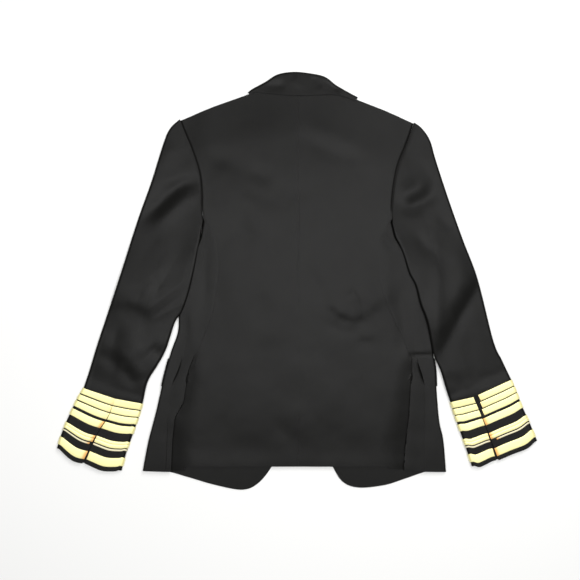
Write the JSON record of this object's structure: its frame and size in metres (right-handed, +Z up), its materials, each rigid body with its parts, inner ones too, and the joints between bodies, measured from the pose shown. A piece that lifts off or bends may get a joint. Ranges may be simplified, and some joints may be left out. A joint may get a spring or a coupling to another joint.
{
  "type": "pilot uniform jacket",
  "caption": "Tailored uniform jacket in near-black wool, laid flat with its back up, side vents, flapped hip pockets and gold rank braid round both cuffs.",
  "frame": {"origin": "middle of the laid-out jacket, on the surface that it rests on", "axes": "+Y from the hem to the collar, +X across the back to the sleeve at the right as it lies, +Z up from the surface"},
  "size_m": [0.913, 0.7935, 0.0163],
  "materials": {
    "uniform_cloth": "fine twill wool, soft sheen",
    "gold_braid": "woven metallic braid, semi-gloss",
    "pale_braid": "narrow woven braid",
    "brass_button": "polished"
  },
  "bodies": {
    "root": {"back_left": "uniform_cloth", "back_right": "uniform_cloth", "side_left": "uniform_cloth", "side_right": "uniform_cloth", "front_left": "uniform_cloth", "front_right": "uniform_cloth", "lapel_left": "uniform_cloth", "lapel_right": "uniform_cloth", "pocket_flap_left": "uniform_cloth", "pocket_flap_right": "uniform_cloth", "top_sleeve_left": "uniform_cloth", "top_sleeve_right": "uniform_cloth", "under_sleeve_left": "uniform_cloth", "under_sleeve_right": "uniform_cloth", "collar": "uniform_cloth", "braid_left_1": "gold_braid", "braid_left_2": "gold_braid", "braid_left_3": "gold_braid", "braid_left_4": "gold_braid", "braid_left_5": "gold_braid", "braid_left_6": "pale_braid", "braid_left_7": "gold_braid", "braid_right_1": "gold_braid", "braid_right_2": "gold_braid", "braid_right_3": "gold_braid", "braid_right_4": "gold_braid", "braid_right_5": "gold_braid", "braid_right_6": "pale_braid", "braid_right_7": "gold_braid", "front_button_1": "brass_button", "front_button_2": "brass_button", "front_button_3": "brass_button"}
  },
  "joints": []
}
